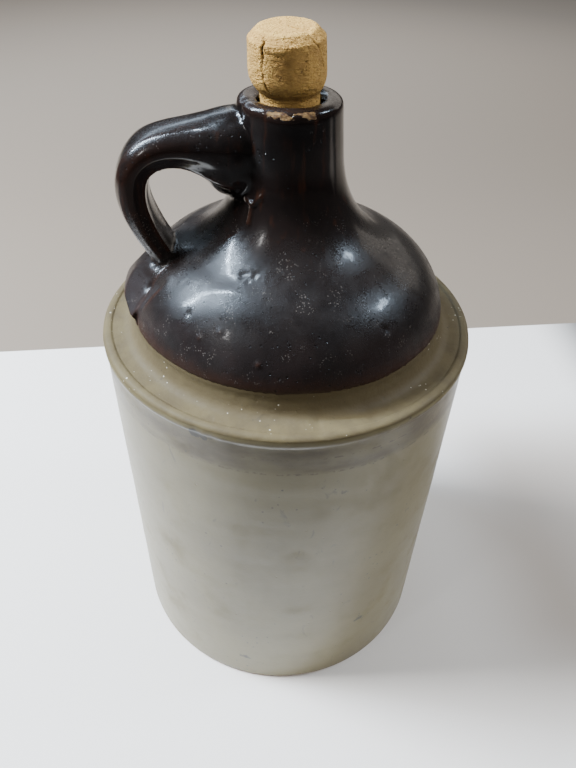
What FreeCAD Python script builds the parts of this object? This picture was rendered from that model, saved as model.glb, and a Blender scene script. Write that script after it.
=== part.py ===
"""Whiskey jug: a one-gallon stoneware shoulder jug with a pulled strap handle, and its cork.

Millimetres, +Z up. The origin is the centre of the base, and the handle reaches towards -X.
The jug is one hollow fired solid. The cork sits in its throat.
"""

import FreeCAD, Part
import math
import os

# --- body and shoulder ------------------------------------------------------------------
BODY_RADIUS = 85.0          # outside of the straight wall
LEDGE_HEIGHT = 198.8        # top of the flat ledge round the dome
FOOT_ROUND = 2.0            # rounded edge under the wall
LIP_STAND = 0.6             # how far the ledge's lip stands out of the wall
LIP_RISE = 0.6              # how far it stands above the ledge
LIP_DEPTH = 5.2             # how far its outer face comes down
LIP_WIDTH = 3.8             # its flat crest
LIP_ROUND = 2.4             # its outer edge
COVE_ROUND = 3.5            # hollow where the collar rises from the ledge

# --- dome and neck ----------------------------------------------------------------------
DOME_RADIUS = 70.5          # outside of the dome where it leaves the collar
COLLAR_RISE = 7.2           # ledge to the dome's widest circle
COLLAR_SPREAD = 2.5         # how much wider the collar is at the ledge
DOME_CROWN_RADIUS = 28.0    # circle that the dome's quarter-ellipse tops out over
DOME_RISE = 35.5            # height of that quarter-ellipse
FLARE_RADIUS = 46.0         # where the dome turns up into the neck
FLARE_PULL_DOME = 14.0      # how long the flare keeps the dome's slope
FLARE_PULL_NECK = 20.0      # how long it keeps the neck's slope
NECK_FOOT_RADIUS = 21.2     # outside of the neck at the top of the flare
NECK_TOP_RADIUS = 20.0      # outside of the neck under the rim
NECK_FOOT_ABOVE_DOME = 34.5  # top of the flare above the dome's ellipse
NECK_LENGTH = 21.0          # top of the flare to the rim
RIM_ROUND = 2.4             # outer edge of the rim

# --- inside -----------------------------------------------------------------------------
WALL = 7.0                  # wall of the body and of the dome
FLOOR = 8.0                 # base
LEDGE_THICKNESS = 7.5       # clay under the ledge
INSIDE_ROUND = 8.0          # inside corners of the body
THROAT_RADIUS = 11.5        # narrowest part of the bore, which grips the cork
THROAT_TOP_DEPTH = 13.0     # rim to the top of the throat
THROAT_LENGTH = 21.0        # straight part of the bore
MOUTH_SPREAD = 1.3          # how much wider than the throat the bore is at the rim
MOUTH_EDGE = 1.4            # rounded edge of the mouth

# --- handle -----------------------------------------------------------------------------
STRAP_WIDTH = 25.0          # across the strap, along Y
STRAP_THICKNESS_TOP = 16.0  # through the strap where it leaves the neck's web
STRAP_THICKNESS_FOOT = 9.2  # where it lands on the dome
ROOT_WIDTH = 31.0           # strap smeared on to the neck
WEB_DEPTH = 17.0            # extra depth of the web beside the neck
WEB_REACH = 27.0            # how far the web runs out along the strap
ROOT_DROP = 21.5            # rim to the middle of the root
FINGER_GAP = 37.6           # neck's top radius to the inside of the strap, at its widest
REACH_DROP = 37.0           # rim to the height of the strap's outermost point
ARCH_RISE = 6.5             # how far the strap is pulled up from its root
ARCH_RUN = 19.0             # how far it runs out before it bends down
ARCH_SHOULDER = 24.0        # how high above its outermost point the bend starts
DESCENT_PULL = 9.0          # how long it falls straight down
LANDING_ANGLE = 52.0        # where on the dome's ellipse it lands, in degrees
LANDING_LEAN = 33.0         # lean of the strap from vertical there, in degrees
LANDING_SINK = 2.0          # how deep its end is pressed into the dome
LANDING_PULL = 8.0          # how long the landing keeps that lean

# --- pressed tab below the handle -------------------------------------------------------
TAB_THICKNESS = 6.4
TAB_STAND_TOP = 1.5         # crown of the tab above the dome, under the strap
TAB_STAND_END = 4.8         # and at its cut end
TAB_WIDTH_TOP = 27.0
TAB_WIDTH_END = 45.0
TAB_WRAP = 0.7              # how closely its edges follow the dome, where 1 is all the way
TAB_START_ANGLE = 50.0      # both in degrees round the dome's ellipse
TAB_END_ANGLE = 4.0

# --- cork -------------------------------------------------------------------------------
CORK_CLEARANCE = 0.1        # between the cork and the throat, all round
CORK_HEAD_RADIUS = 14.2
CORK_TOP_RADIUS = 10.2      # flat disc on top
CORK_HEAD_HEIGHT = 23.6     # rim to the top of the cork
CORK_CHAMFER_DROP = 3.6     # height of the chamfer round the top
CORK_WAIST_RISE = 1.2       # bare plug showing above the rim
CORK_SWELL = 7.0            # height over which the head swells from the waist
CORK_PLUG_DEPTH = 22.0      # plug below the rim

# --- sizes that follow from those above --------------------------------------------------
DOME_BASE_Z = LEDGE_HEIGHT + COLLAR_RISE
NECK_FOOT_Z = DOME_BASE_Z + DOME_RISE + NECK_FOOT_ABOVE_DOME
RIM_Z = NECK_FOOT_Z + NECK_LENGTH
MOUTH_RADIUS = THROAT_RADIUS + MOUTH_SPREAD
LOFT_STATIONS = 7           # sections in each part of the handle
SECTION_POINTS = 24         # points round each section
SECTION_POWER = 2.4         # 2 is an ellipse, more is squarer


def flat(radius, height):
    """Point of a profile, in the XZ plane."""
    return FreeCAD.Vector(radius, 0.0, height)


def rounded_run(corners):
    """Edges of a run of straight lines through (radius, height, rounding) corners."""
    edges = []
    start = flat(*corners[0][:2])
    for i in range(1, len(corners)):
        corner = flat(*corners[i][:2])
        rounding = corners[i][2]
        if rounding == 0:
            edges.append(Part.LineSegment(start, corner).toShape())
            start = corner
            continue
        back = (flat(*corners[i - 1][:2]) - corner).normalize()
        ahead = (flat(*corners[i + 1][:2]) - corner).normalize()
        half = back.getAngle(ahead) / 2
        inset = rounding / math.tan(half)
        middle = (back + ahead).normalize() * (rounding / math.sin(half) - rounding)
        enter, leave = corner + back * inset, corner + ahead * inset
        edges.append(Part.LineSegment(start, enter).toShape())
        edges.append(Part.Arc(enter, corner + middle, leave).toShape())
        start = leave
    return edges


def bezier(*poles):
    curve = Part.BezierCurve()
    curve.setPoles(list(poles))
    return curve


def ellipse_point(angle, inset=0.0):
    """Point of the dome's quarter-ellipse, with both half-axes less by inset."""
    across = DOME_RADIUS - DOME_CROWN_RADIUS - inset
    return flat(DOME_CROWN_RADIUS + across * math.cos(angle),
                DOME_BASE_Z + (DOME_RISE - inset) * math.sin(angle))


def ellipse_slope(angle, inset=0.0):
    """Direction of the ellipse there, going up."""
    across = DOME_RADIUS - DOME_CROWN_RADIUS - inset
    return flat(-across * math.sin(angle), (DOME_RISE - inset) * math.cos(angle)).normalize()


def dome_and_flare(inset, turn_radius, neck, neck_slope, neck_pull):
    """Dome from its widest circle up to turn_radius, then the flare up to the neck."""
    across = DOME_RADIUS - DOME_CROWN_RADIUS - inset
    turn = math.acos((turn_radius - DOME_CROWN_RADIUS) / across)
    steps = 8
    points = [ellipse_point(turn * i / steps, inset) for i in range(steps + 1)]
    dome = Part.BSplineCurve()
    dome.interpolate(Points=points, InitialTangent=flat(0, 1),
                     FinalTangent=ellipse_slope(turn, inset))
    leave = points[-1] + ellipse_slope(turn, inset) * FLARE_PULL_DOME
    flare = bezier(points[-1], leave, neck - neck_slope * neck_pull, neck)
    return [dome.toShape(), flare.toShape()]


def revolved(edges):
    """Solid of revolution about Z of a profile that starts and ends on the axis."""
    first, last = edges[0].Vertexes[0].Point, edges[-1].Vertexes[-1].Point
    closing = Part.LineSegment(last, first).toShape()
    face = Part.Face(Part.Wire(edges + [closing]))
    solid = face.revolve(FreeCAD.Vector(0, 0, 0), FreeCAD.Vector(0, 0, 1), 360)
    if solid.Volume < 0:
        solid.reverse()
    return solid


def jug_outside():
    lip_radius = BODY_RADIUS + LIP_STAND
    lip_top = LEDGE_HEIGHT + LIP_RISE
    body = rounded_run([
        (0, 0, 0),
        (BODY_RADIUS, 0, FOOT_ROUND),
        (BODY_RADIUS, lip_top - LIP_DEPTH - 2, 2),
        (lip_radius, lip_top - LIP_DEPTH, 2),
        (lip_radius, lip_top, LIP_ROUND),
        (lip_radius - LIP_WIDTH, lip_top, 1),
        (lip_radius - LIP_WIDTH - 1.5, LEDGE_HEIGHT, 1),
        (DOME_RADIUS + COLLAR_SPREAD, LEDGE_HEIGHT, COVE_ROUND),
        (DOME_RADIUS, DOME_BASE_Z, 0)])
    neck_foot = flat(NECK_FOOT_RADIUS, NECK_FOOT_Z)
    neck_slope = flat(NECK_TOP_RADIUS - NECK_FOOT_RADIUS, NECK_LENGTH).normalize()
    curves = dome_and_flare(0.0, FLARE_RADIUS, neck_foot, neck_slope, FLARE_PULL_NECK)
    neck = rounded_run([
        (NECK_FOOT_RADIUS, NECK_FOOT_Z, 0),
        (NECK_TOP_RADIUS, RIM_Z, RIM_ROUND),
        (0, RIM_Z, 0)])
    return revolved(body + curves + neck)


def jug_inside():
    """Space inside the jug, with the bore running out above the rim."""
    ceiling = LEDGE_HEIGHT - LEDGE_THICKNESS
    inner_dome = DOME_RADIUS - WALL
    body = rounded_run([
        (0, FLOOR, 0),
        (BODY_RADIUS - WALL, FLOOR, INSIDE_ROUND),
        (BODY_RADIUS - WALL, ceiling, INSIDE_ROUND),
        (inner_dome, ceiling, INSIDE_ROUND / 2),
        (inner_dome, DOME_BASE_Z, 0)])
    throat_top = RIM_Z - THROAT_TOP_DEPTH
    throat_foot = throat_top - THROAT_LENGTH
    curves = dome_and_flare(WALL, FLARE_RADIUS - WALL, flat(THROAT_RADIUS, throat_foot),
                            flat(0, 1), FLARE_PULL_NECK / 2)
    bore = rounded_run([
        (THROAT_RADIUS, throat_foot, 0),
        (THROAT_RADIUS, throat_top, 4),
        (MOUTH_RADIUS, RIM_Z - MOUTH_EDGE, 1),
        (MOUTH_RADIUS + 2 * MOUTH_EDGE, RIM_Z + MOUTH_EDGE, 0),
        (0, RIM_Z + MOUTH_EDGE, 0)])
    return revolved(body + curves + bore)


def rounded_outline(half_width, half_thickness):
    """Points evenly spaced round a rounded section, as (across, through) pairs."""
    fine = 40 * SECTION_POINTS
    outline = []
    for i in range(fine + 1):
        turn = 2 * math.pi * i / fine
        c, s = math.cos(turn), math.sin(turn)
        outline.append((half_width * math.copysign(abs(c) ** (2 / SECTION_POWER), c),
                        half_thickness * math.copysign(abs(s) ** (2 / SECTION_POWER), s)))
    runs = [0.0]
    for a, b in zip(outline, outline[1:]):
        runs.append(runs[-1] + math.dist(a, b))
    points, at = [], 0
    for i in range(SECTION_POINTS):
        wanted = runs[-1] * i / SECTION_POINTS
        while runs[at + 1] < wanted:
            at += 1
        points.append(outline[at])
    return points


def section(centre, along, half_width, half_thickness, wrap=0.0):
    """Closed rounded section across the direction `along`, which lies in the XZ plane.

    Its edges fall back by `wrap` at the full half width, as clay pressed round a curve does.
    """
    across = FreeCAD.Vector(0, 1, 0)
    through = along.cross(across).normalize()
    points = []
    for side, depth in rounded_outline(half_width, half_thickness):
        depth -= wrap * (side / half_width) ** 2
        points.append(centre + across * side + through * depth)
    curve = Part.BSplineCurve()
    curve.interpolate(Points=points, PeriodicFlag=True)
    return Part.Wire([curve.toShape()])


def mirrored_x(point):
    return FreeCAD.Vector(-point.x, point.y, point.z)


def eased(part):
    """1 at 0 down to 0 at 1, level at both ends."""
    return (1 + math.cos(math.pi * min(max(part, 0.0), 1.0))) / 2


def strap():
    """The pulled strap, from inside the neck, out over the arch and down on to the dome."""
    reach = NECK_TOP_RADIUS + FINGER_GAP + (STRAP_THICKNESS_TOP + STRAP_THICKNESS_FOOT) / 4
    root = flat(NECK_TOP_RADIUS, RIM_Z - ROOT_DROP)
    outermost = flat(reach, RIM_Z - REACH_DROP)
    landing = math.radians(LANDING_ANGLE)
    foot = ellipse_point(landing, LANDING_SINK)
    lean = math.radians(LANDING_LEAN)
    rising = flat(math.sin(lean), math.cos(lean))
    arch = bezier(root, root + flat(ARCH_RUN, ARCH_RISE), outermost + flat(0, ARCH_SHOULDER),
                  outermost)
    descent = bezier(outermost, outermost - flat(0, DESCENT_PULL),
                     foot + rising * LANDING_PULL, foot)
    inside_neck = root - arch.tangent(0.0)[0] * (NECK_TOP_RADIUS * 0.7)
    stations = [(inside_neck, arch.tangent(0.0)[0])]
    for curve in (arch, descent):
        first = 0 if curve is arch else 1
        for i in range(first, LOFT_STATIONS):
            t = i / (LOFT_STATIONS - 1)
            stations.append((curve.value(t), curve.tangent(t)[0]))
    wires = []
    for i, (point, along) in enumerate(stations):
        part = i / (len(stations) - 1)
        web = eased((point.x - NECK_TOP_RADIUS) / WEB_REACH) if along.x > 0.2 else 0.0
        width = STRAP_WIDTH + (ROOT_WIDTH - STRAP_WIDTH) * web
        thickness = (STRAP_THICKNESS_TOP + (STRAP_THICKNESS_FOOT - STRAP_THICKNESS_TOP) * part
                     + WEB_DEPTH * web)
        wires.append(section(mirrored_x(point), mirrored_x(along), width / 2, thickness / 2))
    return Part.makeLoft(wires, True, False)


def tab():
    """The strap's tail, pressed flat down the flank of the dome and cut off."""
    wires = []
    for i in range(LOFT_STATIONS):
        part = i / (LOFT_STATIONS - 1)
        angle = math.radians(TAB_START_ANGLE + (TAB_END_ANGLE - TAB_START_ANGLE) * part)
        spread = math.sin(part * math.pi / 2)
        slope = ellipse_slope(angle)
        outward = flat(slope.z, -slope.x)
        stand = TAB_STAND_TOP + (TAB_STAND_END - TAB_STAND_TOP) * spread
        dome = ellipse_point(angle)
        width = TAB_WIDTH_TOP + (TAB_WIDTH_END - TAB_WIDTH_TOP) * spread
        sagitta = dome.x - math.sqrt(dome.x ** 2 - width ** 2 / 4)
        wires.append(section(mirrored_x(dome + outward * (stand - TAB_THICKNESS / 2)),
                             mirrored_x(-slope), width / 2, TAB_THICKNESS / 2,
                             -TAB_WRAP * sagitta))
    return Part.makeLoft(wires, True, False)


def jug():
    return jug_outside().fuse(strap()).fuse(tab()).cut(jug_inside())


def cork():
    plug_radius = THROAT_RADIUS - CORK_CLEARANCE
    top = RIM_Z + CORK_HEAD_HEIGHT
    waist = RIM_Z + CORK_WAIST_RISE
    chamfer_foot = top - CORK_CHAMFER_DROP
    return revolved(rounded_run([
        (0, RIM_Z - CORK_PLUG_DEPTH, 0),
        (plug_radius, RIM_Z - CORK_PLUG_DEPTH, 1),
        (plug_radius, waist, 0.3),
        (plug_radius + 1.0, waist + 0.4, 0.3),
        (CORK_HEAD_RADIUS, waist + CORK_SWELL, 9),
        (CORK_HEAD_RADIUS, chamfer_foot, 1.2),
        (CORK_TOP_RADIUS, top, 0.6),
        (0, top, 0)]))


def main():
    os.makedirs("parts", exist_ok=True)
    for name, shape in (("jug", jug()), ("cork", cork())):
        shape = shape.Solids[0] if len(shape.Solids) == 1 else shape
        shape.exportStep(os.path.join("parts", name + ".step"))
        print(name, len(shape.Solids), "solid,", round(shape.Volume / 1000, 1), "cm3, valid",
              shape.isValid())


main()
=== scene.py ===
"""Looks of a one-gallon stoneware whiskey jug: cream body, dark slip-glazed top and cork.

Metres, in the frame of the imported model: +Z up, the origin at the centre of the base and the
handle towards -X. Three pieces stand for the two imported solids: the cream body, the top with
its handle under dark slip, and the cork. Angles round the axis are in degrees from +X.
"""

import logging
import math
from dataclasses import dataclass, field
from enum import Enum
from typing import Any, Sequence

import bmesh
import bpy
import numpy as np
from mathutils import Matrix, Vector, noise


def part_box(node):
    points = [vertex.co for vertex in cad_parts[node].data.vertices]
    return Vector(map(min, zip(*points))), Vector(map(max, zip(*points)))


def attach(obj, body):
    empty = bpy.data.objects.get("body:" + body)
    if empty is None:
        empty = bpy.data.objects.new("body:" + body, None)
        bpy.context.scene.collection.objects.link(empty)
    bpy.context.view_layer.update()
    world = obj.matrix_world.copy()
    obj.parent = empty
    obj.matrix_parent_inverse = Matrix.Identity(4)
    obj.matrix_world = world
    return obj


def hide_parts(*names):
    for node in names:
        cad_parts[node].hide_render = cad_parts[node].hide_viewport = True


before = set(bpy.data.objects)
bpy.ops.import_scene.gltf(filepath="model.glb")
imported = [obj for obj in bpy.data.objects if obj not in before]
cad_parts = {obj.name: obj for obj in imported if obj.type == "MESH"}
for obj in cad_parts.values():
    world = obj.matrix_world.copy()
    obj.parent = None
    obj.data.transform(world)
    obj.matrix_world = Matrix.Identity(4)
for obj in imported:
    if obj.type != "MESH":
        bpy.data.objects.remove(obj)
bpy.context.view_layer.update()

MM = 0.001
ROUND_SEGMENTS = 5          # in each rounded corner of a turned outline
MERGE = 1e-6                # points nearer than this are one point
LOG = logging.getLogger("jug")

RIM_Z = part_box("jug")[1].z
CAMERA_SIDE = -96.0         # angle round the axis of the side that faces the camera
CAMERA_LEFT = Vector((-0.996, 0.089, 0.0))
CAMERA_NEAR = Vector((-0.111, -0.994, 0.0))

Color = tuple[float, float, float, float]


class Node(str, Enum):
    """The CAD nodes that the pieces here stand for."""

    JUG = "jug"
    CORK = "cork"


class Slot(str, Enum):
    """The record's material slots."""

    STONEWARE = "stoneware"
    CORK = "cork"


# --- numbers at points ---------------------------------------------------------------------


def lumps(points: np.ndarray, size: float, seed: float,
          stretch: Sequence[float] = (1.0, 1.0, 1.0)) -> np.ndarray:
    """Smooth noise at each point.

    Args:
        points: Places in metres, one row each.
        size: Width of one lump in metres.
        seed: Where in the noise to read.
        stretch: How much longer than size the lumps are along X, Y and Z.

    Returns:
        A value of about -1 to 1 for each point.
    """
    scaled = points / (size * np.asarray(stretch)) + seed
    return np.array([noise.noise(place) for place in scaled.tolist()])


def eased(value: np.ndarray | float, start: float, end: float) -> np.ndarray:
    """Goes smoothly from 0 at start to 1 at end."""
    part = np.clip((np.asarray(value) - start) / (end - start), 0.0, 1.0)
    return part * part * (3.0 - 2.0 * part)


def bell(value: np.ndarray | float, width: float) -> np.ndarray:
    """1 where value is 0, falling away over width on both sides."""
    return np.exp(-np.square(np.asarray(value) / width))


def angle_off(points: np.ndarray, angle: float) -> np.ndarray:
    """How far round the axis each point is from an angle, in degrees, -180 to 180."""
    around = np.degrees(np.arctan2(points[:, 1], points[:, 0]))
    return (around - angle + 180.0) % 360.0 - 180.0


def bezier(controls: Sequence[Sequence[float]], t: np.ndarray) -> np.ndarray:
    """Points of a cubic curve.

    Args:
        controls: Its four control points.
        t: Places along the curve, 0 to 1.

    Returns:
        One row for each t.
    """
    a, b, c, d = (np.asarray(point, float) for point in controls)
    t = t[:, None]
    return (1 - t) ** 3 * a + 3 * t * (1 - t) ** 2 * b + 3 * t * t * (1 - t) * c + t ** 3 * d


# --- meshes --------------------------------------------------------------------------------


@dataclass(frozen=True)
class Corner:
    """A corner of a turned outline: distance from the axis, height, and how far it is rounded."""

    radius: float
    height: float
    rounding: float = 0.0


@dataclass(frozen=True)
class Dent:
    """A small hollow at a place on a surface, or a bump where depth is negative."""

    angle: float
    height: float
    radius: float
    depth: float

    def depth_at(self, points: np.ndarray) -> np.ndarray:
        """How deep the hollow is.

        Args:
            points: Places in metres, one row each.

        Returns:
            Metres for each point.
        """
        reach = np.hypot(points[:, 0], points[:, 1])
        along = np.radians(angle_off(points, self.angle)) * reach
        return self.depth * bell(np.hypot(along, points[:, 2] - self.height), self.radius)


@dataclass(frozen=True)
class Crack:
    """A thin line on a round surface, sunk in it or, where it is added, standing on it.

    Its route goes through places of degrees off the camera's side and millimetres off the rim.
    """

    route: tuple[tuple[float, float], ...]
    width: float
    depth: float

    def depth_at(self, around: np.ndarray, up: np.ndarray, radius: float) -> np.ndarray:
        """How deep the line is.

        Args:
            around: Distance of each point round the axis from the camera's side.
            up: Height of each point above the rim.
            radius: Radius at which that distance was taken.

        Returns:
            Metres for each point.
        """
        best = np.full(len(around), np.inf)
        turn = math.radians(1.0) * radius
        for (a, low), (b, high) in zip(self.route, self.route[1:]):
            start = np.array((a * turn, low * MM))
            step = np.array((b * turn, high * MM)) - start
            off = np.column_stack((around, up)) - start
            part = np.clip(off @ step / (step @ step), 0.0, 1.0)
            gap = off - part[:, None] * step
            best = np.minimum(best, np.hypot(gap[:, 0], gap[:, 1]))
        return self.depth * bell(best, self.width)


def turned(corners: Sequence[Corner], steps: int, ring: float) -> bmesh.types.BMesh:
    """Spins an outline round the Z axis into a closed surface.

    Args:
        corners: The outline, from the axis at the bottom and back to the axis.
        steps: Pieces round the axis.
        ring: Longest stretch of outline between two rings of points.

    Returns:
        The closed mesh, with its normals pointing out.
    """
    bm = bmesh.new()
    points = [bm.verts.new((corner.radius, 0.0, corner.height)) for corner in corners]
    for start, end in zip(points, points[1:]):
        bm.edges.new((start, end))
    for point, corner in zip(points, corners):
        if corner.rounding:
            bmesh.ops.bevel(bm, geom=[point], offset=corner.rounding, offset_type="OFFSET",
                            segments=ROUND_SEGMENTS, profile=0.5, affect="VERTICES", material=-1)
    for edge in list(bm.edges):
        cuts = int(edge.calc_length() / ring)
        if cuts:
            bmesh.ops.subdivide_edges(bm, edges=[edge], cuts=cuts)
    bmesh.ops.spin(bm, geom=bm.verts[:] + bm.edges[:], cent=(0, 0, 0), axis=(0, 0, 1),
                   angle=math.tau, steps=steps, use_merge=True)
    bmesh.ops.remove_doubles(bm, verts=bm.verts, dist=MERGE)
    bmesh.ops.recalc_face_normals(bm, faces=bm.faces)
    return bm


def remeshed(bm: bmesh.types.BMesh, voxel: float) -> bmesh.types.BMesh:
    """The same closed form in even square faces.

    Args:
        bm: A closed mesh, freed here.
        voxel: Side of one face.

    Returns:
        A new mesh.
    """
    mesh = bpy.data.meshes.new("raw")
    bm.to_mesh(mesh)
    bm.free()
    raw = bpy.data.objects.new("raw", mesh)
    bpy.context.scene.collection.objects.link(raw)
    modifier = raw.modifiers.new("voxels", "REMESH")
    modifier.mode = "VOXEL"
    modifier.voxel_size = voxel
    graph = bpy.context.evaluated_depsgraph_get()
    even = bpy.data.meshes.new_from_object(raw.evaluated_get(graph), depsgraph=graph)
    bpy.data.objects.remove(raw)
    fresh = bmesh.new()
    fresh.from_mesh(even)
    bpy.data.meshes.remove(even)
    bpy.data.meshes.remove(mesh)
    return fresh


def smoothed(bm: bmesh.types.BMesh, passes: int, factor: float = 0.5) -> None:
    """Relaxes every point of a mesh towards its neighbours.

    Args:
        bm: The mesh, changed here.
        passes: How often.
        factor: Share of the way that a point goes in one pass.
    """
    for _ in range(passes):
        bmesh.ops.smooth_vert(bm, verts=bm.verts, factor=factor, use_axis_x=True,
                              use_axis_y=True, use_axis_z=True)


def points_of(bm: bmesh.types.BMesh) -> tuple[np.ndarray, np.ndarray]:
    """The places and the normals of a mesh's points.

    Args:
        bm: The mesh, whose normals are brought up to date.

    Returns:
        Places and unit normals, one row each.
    """
    bm.normal_update()
    places = np.array([vert.co[:] for vert in bm.verts])
    normals = np.array([vert.normal[:] for vert in bm.verts])
    return places, normals


def put_points(bm: bmesh.types.BMesh, places: np.ndarray) -> None:
    """Moves a mesh's points to new places."""
    for vert, place in zip(bm.verts, places.tolist()):
        vert.co = place


def crests(bm: bmesh.types.BMesh, passes: int) -> np.ndarray:
    """How strongly the surface bends outwards at each point, evened out over its neighbours.

    Args:
        bm: The mesh.
        passes: How often each value is averaged with those around it.

    Returns:
        Metres that a point stands out of its neighbours, for each point.
    """
    places, normals = points_of(bm)
    bm.verts.index_update()
    ends = np.array([(edge.verts[0].index, edge.verts[1].index) for edge in bm.edges])
    count = np.bincount(ends.ravel(), minlength=len(places)).astype(float)

    def around(values: np.ndarray) -> np.ndarray:
        """The mean of each point's neighbours.

        Args:
            values: A number or a vector for each point.

        Returns:
            The same for each point's neighbours.
        """
        total = np.zeros_like(values)
        np.add.at(total, ends[:, 0], values[ends[:, 1]])
        np.add.at(total, ends[:, 1], values[ends[:, 0]])
        return total / (count[:, None] if values.ndim > 1 else count)

    bend = ((places - around(places)) * normals).sum(axis=1)
    for _ in range(passes):
        bend = 0.5 * bend + 0.5 * around(bend)
    return bend


def piece_from(bm: bmesh.types.BMesh, name: str, values: dict[str, np.ndarray] | None = None
               ) -> bpy.types.Object:
    """Makes a smooth-shaded object at the origin, and frees its mesh in the making.

    Args:
        bm: The finished mesh.
        name: The piece's name.
        values: Named numbers to keep at each point, for the material to read.

    Returns:
        The object.
    """
    for face in bm.faces:
        face.smooth = True
    mesh = bpy.data.meshes.new(name)
    bm.to_mesh(mesh)
    bm.free()
    for label, numbers in (values or {}).items():
        kept = mesh.attributes.new(label, "FLOAT", "POINT")
        kept.data.foreach_set("value", np.ascontiguousarray(numbers, dtype=np.float32))
    piece = bpy.data.objects.new(name, mesh)
    bpy.context.scene.collection.objects.link(piece)
    return piece


# --- shader maths --------------------------------------------------------------------------


class Signal:
    """A shader value that Python's operators work on."""

    def __init__(self, recipe: "Recipe", socket: bpy.types.NodeSocket) -> None:
        """Wraps an output socket of one of the recipe's nodes."""
        self.recipe = recipe
        self.socket = socket

    def __add__(self, other: "Signal | float") -> "Signal":
        """self + other."""
        return self.recipe.math("ADD", self, other)

    __radd__ = __add__

    def __sub__(self, other: "Signal | float") -> "Signal":
        """self - other."""
        return self.recipe.math("SUBTRACT", self, other)

    def __rsub__(self, other: "Signal | float") -> "Signal":
        """other - self."""
        return self.recipe.math("SUBTRACT", other, self)

    def __mul__(self, other: "Signal | float") -> "Signal":
        """self * other."""
        return self.recipe.math("MULTIPLY", self, other)

    __rmul__ = __mul__

    def __pow__(self, other: "Signal | float") -> "Signal":
        """self ** other."""
        return self.recipe.math("POWER", self, other)

    def __abs__(self) -> "Signal":
        """The size of self without its sign."""
        return self.recipe.math("ABSOLUTE", self)

    def most(self, other: "Signal | float") -> "Signal":
        """The larger of self and other."""
        return self.recipe.math("MAXIMUM", self, other)

    def least(self, other: "Signal | float") -> "Signal":
        """The smaller of self and other."""
        return self.recipe.math("MINIMUM", self, other)

    def between(self, low: float, high: float, start: float = 0.0, end: float = 1.0) -> "Signal":
        """Eases self from one range into another.

        Args:
            low: Where self gives start. It may be above high.
            high: Where self gives end.
            start: The result at and beyond low.
            end: The result at and beyond high.

        Returns:
            The eased value.
        """
        spread = self.recipe.node("ShaderNodeMapRange", {"interpolation_type": "SMOOTHSTEP"},
                                  {"Value": self, "From Min": low, "From Max": high,
                                   "To Min": start, "To Max": end})
        return Signal(self.recipe, spread.outputs[0])


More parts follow.
